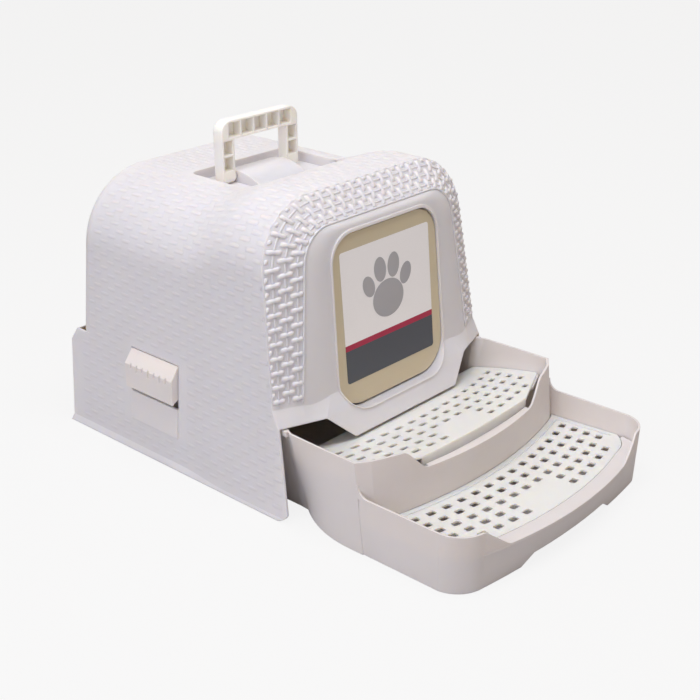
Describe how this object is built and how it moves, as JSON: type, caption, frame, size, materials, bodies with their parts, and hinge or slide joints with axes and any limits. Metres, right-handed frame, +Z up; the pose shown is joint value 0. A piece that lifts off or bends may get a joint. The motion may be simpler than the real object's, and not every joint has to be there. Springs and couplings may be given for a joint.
{
  "type": "drawer litter box",
  "caption": "Hooded cat litter box with a swing door, a carry handle, side latches and a litter drawer whose front forms two entrance steps with slotted grids.",
  "frame": {"origin": "on the floor, on the flat underside of the drawer, under the middle of the hood", "axes": "+Z up, the door and the steps face -Y, +X is to the right seen from the front"},
  "size_m": [0.427, 0.7285, 0.442],
  "materials": {
    "hood": "satin white polypropylene with a basket weave moulded in",
    "drawer": "satin warm white polypropylene",
    "grid": "satin warm white polypropylene",
    "handle": "satin ivory polypropylene",
    "door": "smooth beige polystyrene",
    "card": "printed card, smooth"
  },
  "bodies": {
    "hood": {"hood_shell": "hood"},
    "door": {"door_flap": "door", "door_card": "card"},
    "handle": {"carry_handle": "handle"},
    "latch_right": {"latch_right": "hood"},
    "latch_left": {"latch_left": "hood"},
    "drawer": {"drawer_tray": "drawer", "upper_step_grid": "grid"},
    "lower_grid": {"lower_step_grid": "grid"}
  },
  "joints": [
    {"name": "drawer_slide", "type": "slide", "parent": "hood", "child": "drawer", "axis": [0, -1, 0], "range_m": [0, 0.39]},
    {"name": "door_swing", "type": "hinge", "parent": "hood", "child": "door", "pos_m": [0, -0.19471, 0.331], "axis": [1, 0, 0], "range_deg": [-30, 70]},
    {"name": "handle_fold", "type": "hinge", "parent": "hood", "child": "handle", "pos_m": [0, 0.029, 0.3652], "axis": [1, 0, 0], "range_deg": [0, 90]},
    {"name": "latch_right_swing", "type": "hinge", "parent": "hood", "child": "latch_right", "pos_m": [0.1965, 0.0295, 0.144], "axis": [0, -1, 0], "range_deg": [0, 28]},
    {"name": "latch_left_swing", "type": "hinge", "parent": "hood", "child": "latch_left", "pos_m": [-0.1965, 0.0295, 0.144], "axis": [0, 1, 0], "range_deg": [0, 28]},
    {"name": "lower_grid_lift", "type": "slide", "parent": "drawer", "child": "lower_grid", "axis": [0, -0.0499, 0.9988], "range_m": [0, 0.08]}
  ]
}
